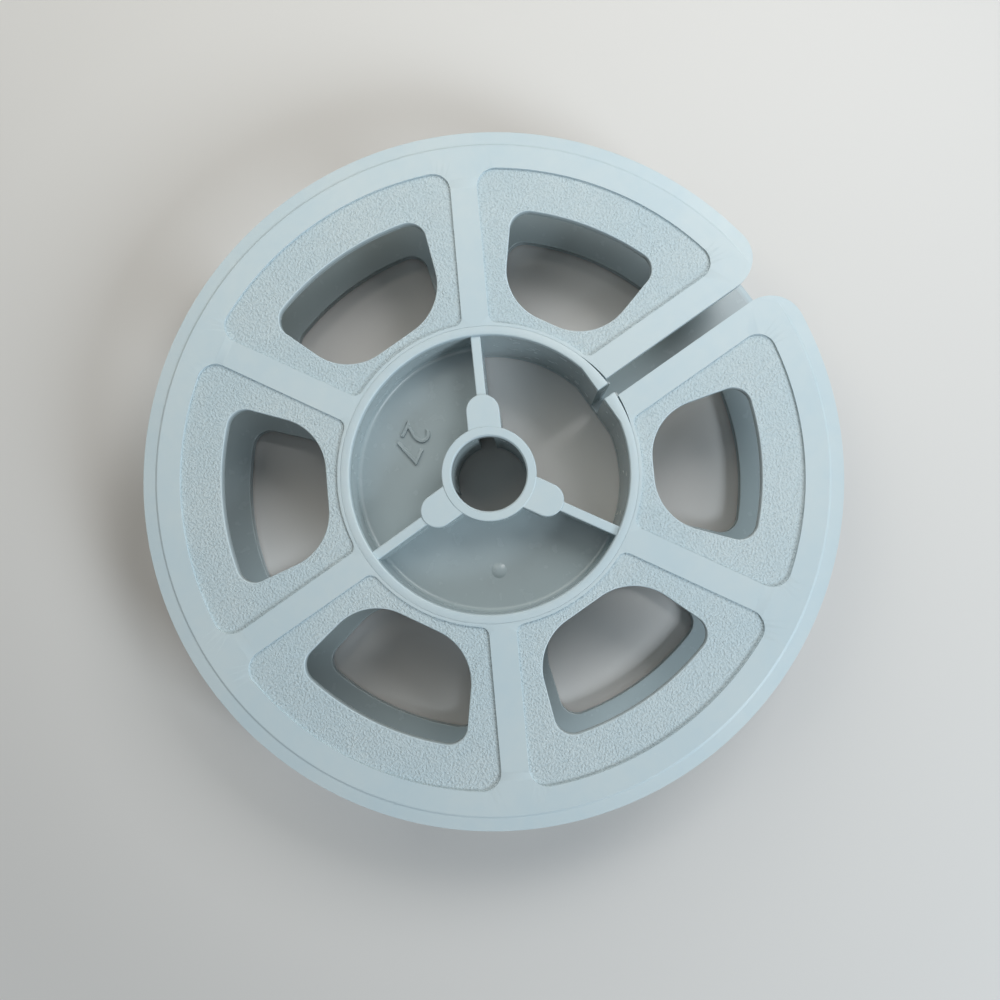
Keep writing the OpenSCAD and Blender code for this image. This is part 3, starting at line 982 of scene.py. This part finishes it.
def handling_marks():
    """A group for hairline scratches and for specks of dust."""
    group, start, end = new_group(
        "handling marks", {"Vector": "Vector"}, {"Scratches": "Float", "Dust": "Float"}
    )
    scratches = None
    for turn in SCRATCH_TURNS:
        along = node(group, "Mapping", {
            "Vector": start["Vector"], "Rotation": (0, 0, turn), "Scale": (1 / SCRATCH_STRETCH, 1, 1),
        }).outputs["Vector"]
        hairs = spread(group, noise(group, along, SCRATCH_WIDTH, 1), 0.70, 0.76)
        # Each direction has patches of another size, so that they don't lie on each other.
        patches = noise(group, start["Vector"], SCRATCH_PATCH * (1 + 0.2 * turn), 1)
        hairs = times(group, hairs, spread(group, patches, 0.52, 0.66))
        scratches = hairs if scratches is None else maths(group, "MAXIMUM", scratches, hairs)
    group.links.new(scratches, end["Scratches"])
    cells = node(
        group, "TexVoronoi", {"Vector": start["Vector"], "Scale": 1 / DUST_SPACING, "Randomness": 1.0}
    ).outputs
    specks = spread(group, cells["Distance"], 0.055, 0.03)
    # A random value of each cell leaves most of them without a speck.
    chance = node(group, "SeparateColor", {"Color": cells["Color"]}).outputs["Red"]
    group.links.new(times(group, specks, spread(group, chance, 0.75, 0.80)), end["Dust"])
    return group


def shade_and_wear_mask():
    """A group that is 1 on the reel's outer faces and rims, which light and hands reach, and 0 deep
    inside, where the material paints shade into the colour.
    """
    group, start, end = new_group(
        "outer fading", {"Vector": "Vector", "Depth": "Float", "Run": "Float"}, {"Faded": "Float"}
    )
    place = node(group, "SeparateXYZ", {"Vector": start["Vector"]}).outputs
    below = maths(group, "MINIMUM", place["Z"], maths(group, "SUBTRACT", REEL_W, place["Z"]))
    flat = node(group, "CombineXYZ", {"X": place["X"], "Y": place["Y"]}).outputs["Vector"]
    across = node(group, "VectorMath", {0: flat}, operation="LENGTH").outputs["Value"]
    inwards = maths(group, "SUBTRACT", FLANGE_R, across)
    deep = maths(group, "MINIMUM", below, inwards)
    last = maths(group, "ADD", start["Depth"], start["Run"])
    group.links.new(spread(group, deep, last, start["Depth"]), end["Faded"])
    return group


def placed(tree, name, inputs):
    """Places a shared group in a material."""
    return node(tree, "Group", inputs, node_tree=bpy.data.node_groups[name]).outputs


def moulded_plastic(name, look, shift):
    """The reel's satin plastic. The shift gives each moulding its own run of the pattern."""
    for group, build in (
        ("moulded mottle", moulded_mottle), ("outer fading", shade_and_wear_mask),
        ("pebble grain", pebble_grain), ("handling marks", handling_marks),
    ):
        if group not in bpy.data.node_groups:
            build()
    material = bpy.data.materials.new(name)
    material.use_nodes = True
    tree = material.node_tree
    shader = tree.nodes["Principled BSDF"]
    shader.inputs["IOR"].default_value = look.ior
    spot = node(tree, "TexCoord", {}).outputs["Object"]
    place = node(tree, "Mapping", {"Vector": spot, "Location": (shift, shift, shift)}).outputs["Vector"]
    mask = node(tree, "Attribute", {}, attribute_name=GRAIN).outputs["Fac"]
    mottle = placed(tree, "moulded mottle", {
        "Vector": place, "Plastic": (*look.base, 1), "Mottle": (*look.shade, 1),
    })
    grain = placed(tree, "pebble grain", {"Vector": place, "Mask": mask, "Pebble": look.grain_size})
    marks = placed(tree, "handling marks", {"Vector": place})

    ramp = placed(tree, "outer fading", {"Vector": spot, "Depth": look.shade_depth, "Run": look.shade_run})
    # Deep inside the reel the colour turns to painted shade; scratches and dust stay on the outer faces.
    colour_now = mixed(tree, ramp["Faded"], (*look.inside, 1), mottle["Color"])
    # The pits between the pebbles are darkened with painted shade.
    colour_now = mixed(tree, times(tree, grain["Pits"], look.pit_shade_share), colour_now, (*look.pit, 1))
    scratches = times(tree, marks["Scratches"], ramp["Faded"])
    dust = times(tree, marks["Dust"], ramp["Faded"])
    pale = maths(tree, "MAXIMUM", times(tree, scratches, look.scratch_share), dust)
    colour_now = mixed(tree, times(tree, pale, look.dust_share), colour_now, (*look.dust, 1))
    tree.links.new(colour_now, shader.inputs["Base Color"])

    dulled = look.roughness - look.inside_roughness
    smooth = maths(tree, "MULTIPLY_ADD", ramp["Faded"], dulled, look.inside_roughness)
    uneven = maths(tree, "MULTIPLY_ADD", mottle["Gloss"], look.roughness_drift, smooth)
    grained = maths(tree, "MULTIPLY_ADD", mask, look.grain_roughness - look.roughness, uneven)
    scored = maths(tree, "MULTIPLY_ADD", scratches, look.scratch_share * SCRATCH_ROUGHNESS, grained)
    tree.links.new(scored, shader.inputs["Roughness"])
    skin = node(tree, "Bump", {"Height": mottle["Gloss"], "Strength": 1.0, "Distance": look.skin_depth})
    bump = node(tree, "Bump", {
        "Height": grain["Height"], "Strength": 1.0, "Distance": look.grain_depth,
        "Normal": skin.outputs["Normal"],
    })
    tree.links.new(bump.outputs["Normal"], shader.inputs["Normal"])
    return material


def seen_rays(tree):
    """1 for rays that show a surface to the camera, straight, in a reflection or through glass."""
    path = node(tree, "LightPath", {}).outputs
    seen = maths(tree, "MAXIMUM", path["Is Camera Ray"], path["Is Glossy Ray"])
    return maths(tree, "MAXIMUM", seen, path["Is Transmission Ray"])


def floor_paint(setup):
    """A plain matt floor, which is pale where it is seen and sends little light back."""
    material = bpy.data.materials.new("floor paint")
    material.use_nodes = True
    tree = material.node_tree
    shader = tree.nodes["Principled BSDF"]
    shader.inputs["Specular IOR Level"].default_value = 0.0
    shader.inputs["Emission Color"].default_value = (*setup.floor_glow, 1)
    seen = seen_rays(tree)
    spot = node(tree, "TexCoord", {}).outputs["Object"]
    away = node(tree, "VectorMath", {0: spot}, operation="LENGTH").outputs["Value"]
    far = spread(tree, away, setup.glow_start, setup.glow_end, "SMOOTHSTEP")
    # The glow takes the place of the lamps' light on the floor, so no lamp leaves a bright pool.
    shown = mixed(tree, far, (*setup.floor_colour, 1), (0, 0, 0, 1))
    paint = mixed(tree, seen, (*setup.floor_bounce, 1), shown)
    tree.links.new(paint, shader.inputs["Base Color"])
    tree.links.new(times(tree, seen, far), shader.inputs["Emission Strength"])
    return material


def even_light(setup):
    """A world of even light, which is pale where it is seen."""
    world = bpy.data.worlds.new("even light")
    world.use_nodes = True
    tree = world.node_tree
    background = tree.nodes["Background"]
    background.inputs["Color"].default_value = (*setup.sky_colour, 1)
    levels = {"Value": seen_rays(tree), "To Min": setup.sky, "To Max": setup.backdrop}
    strength = node(tree, "MapRange", levels).outputs["Result"]
    tree.links.new(strength, background.inputs["Strength"])
    return world


def dress(piece, look, shift, node_name=None):
    """Gives a finished piece its plastic and its place on the reel."""
    piece.data.materials.append(moulded_plastic(piece.name + " plastic", look, shift))
    if node_name:
        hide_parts(node_name)
    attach(piece, "root")


class REEL_OT_core_moulding(Operator):
    """Models the barrel, its web and spindle hub and the rear flange, which are one moulding"""

    bl_idname = "reel.core_moulding"
    bl_label = "Core and rear flange"

    def execute(self, context):
        scene = context.scene
        bm = rear_and_barrel(scene.reel_flange, scene.reel_core)
        bm = combine(bm, hub_solids(scene.reel_core), "UNION")
        for cutter in (bore_cutter, keyway_cutter, slit_cutter):
            bm = combine(bm, cutter(scene.reel_core), "DIFFERENCE")
        mark_grain(bm, scene.reel_flange.panel_depth)
        piece = finish_mesh(bm, "core_moulding")
        dress(piece, scene.reel_plastic, 0.0, "core_rear_flange")
        return {"FINISHED"}


class REEL_OT_front_flange(Operator):
    """Models the slotted front flange"""

    bl_idname = "reel.front_flange"
    bl_label = "Front flange"

    def execute(self, context):
        scene = context.scene
        bm = slotted_plate(scene.reel_flange)
        bmesh.ops.translate(bm, verts=bm.verts, vec=UP * FRONT_BOX[0].z)
        mark_grain(bm, REEL_W - scene.reel_flange.panel_depth)
        piece = finish_mesh(bm, "slotted_flange")
        dress(piece, scene.reel_plastic, FRONT_SHIFT, "front_flange")
        return {"FINISHED"}


class REEL_OT_mould_number(Operator):
    """Models the raised mould number on the web"""

    bl_idname = "reel.mould_number"
    bl_label = "Mould number"

    def execute(self, context):
        scene = context.scene
        number = scene.reel_number
        bm = number_mesh(number)
        turn = Matrix.Rotation(number.turn + pi / 2, 3, "Z")
        bmesh.ops.rotate(bm, verts=bm.verts, cent=AXIS, matrix=turn)
        web_face = (REEL_W + scene.reel_core.web_t) / 2
        bmesh.ops.translate(bm, verts=bm.verts, vec=turned(number.place_r, number.turn, web_face))
        piece = finish_mesh(bm, "mould_number")
        dress(piece, scene.reel_plastic, 0.0)
        return {"FINISHED"}


class REEL_OT_studio(Operator):
    """Sets up the floor, the lamps, the even light and the camera"""

    bl_idname = "reel.studio"
    bl_label = "Studio"

    def execute(self, context):
        scene = context.scene
        setup = scene.reel_studio
        bm = bmesh.new()
        bmesh.ops.create_grid(bm, x_segments=1, y_segments=1, size=setup.floor_size / 2)
        bmesh.ops.translate(bm, verts=bm.verts, vec=UP * (CAD_BOX[0].z - setup.floor_gap))
        floor = mesh_object(bm, "floor")
        floor.data.materials.append(floor_paint(setup))

        for name in ("key", "side", "fill"):
            height = getattr(setup, name + "_height")
            reach = getattr(setup, name + "_reach")
            away = turned(cos(height), getattr(setup, name + "_turn"), sin(height))
            lamp = bpy.data.objects.new(name + " lamp", bpy.data.lights.new(name + " lamp", "AREA"))
            lamp.data.size = getattr(setup, name + "_width")
            lamp.data.color = getattr(setup, name + "_colour")
            # This power lights a level face at the origin as brightly as the level says.
            lamp.data.energy = getattr(setup, name + "_level") * (pi * reach) ** 2 / sin(height)
            lamp.location = away * reach
            lamp.rotation_euler = away.to_track_quat("Z", "Y").to_euler()
            lamp.visible_camera = False
            scene.collection.objects.link(lamp)
        scene.world = even_light(setup)

        camera = bpy.data.objects.new("camera", bpy.data.cameras.new("camera"))
        camera.data.lens = setup.camera_lens
        camera.data.sensor_width = setup.camera_film
        camera.data.clip_start = setup.camera_clip
        camera.location = setup.camera_place
        camera.rotation_mode = "YXZ"
        camera.rotation_euler = setup.camera_turn
        scene.collection.objects.link(camera)
        scene.camera = camera
        scene.view_settings.view_transform = "Standard"
        return {"FINISHED"}


class REEL_PT_film_reel(Panel):
    """Lists the reel's pieces and their sizes"""

    bl_idname = "REEL_PT_film_reel"
    bl_label = "Film reel"
    bl_space_type = "VIEW_3D"
    bl_region_type = "UI"
    bl_category = "Film reel"

    def draw(self, context):
        for group, cls in SCENE_GROUPS.items():
            settings = getattr(context.scene, group)
            box = self.layout.box()
            box.label(text=cls.bl_rna.name)
            for name in cls.__annotations__:
                box.prop(settings, name)
        for operator in OPERATORS:
            self.layout.operator(operator.bl_idname)


SCENE_GROUPS = {
    "reel_flange": FlangeSizes,
    "reel_core": CoreSizes,
    "reel_number": NumberSizes,
    "reel_plastic": PlasticLook,
    "reel_studio": StudioSetup,
}
OPERATORS = (REEL_OT_core_moulding, REEL_OT_front_flange, REEL_OT_mould_number, REEL_OT_studio)


def register():
    """Adds the reel's settings, operators and panel to Blender."""
    for cls in (*SCENE_GROUPS.values(), *OPERATORS, REEL_PT_film_reel):
        bpy.utils.register_class(cls)
    for name, group in SCENE_GROUPS.items():
        setattr(bpy.types.Scene, name, PointerProperty(type=group))


def unregister():
    """Takes the settings, operators and panel out again."""
    for name in SCENE_GROUPS:
        delattr(bpy.types.Scene, name)
    for cls in (REEL_PT_film_reel, *reversed(OPERATORS), *reversed(SCENE_GROUPS.values())):
        bpy.utils.unregister_class(cls)


def main():
    """Builds the reel and its studio."""
    register()
    bpy.ops.reel.core_moulding()
    bpy.ops.reel.front_flange()
    bpy.ops.reel.mould_number()
    bpy.ops.reel.studio()
    bpy.context.view_layer.update()


if __name__ == "__main__":
    main()
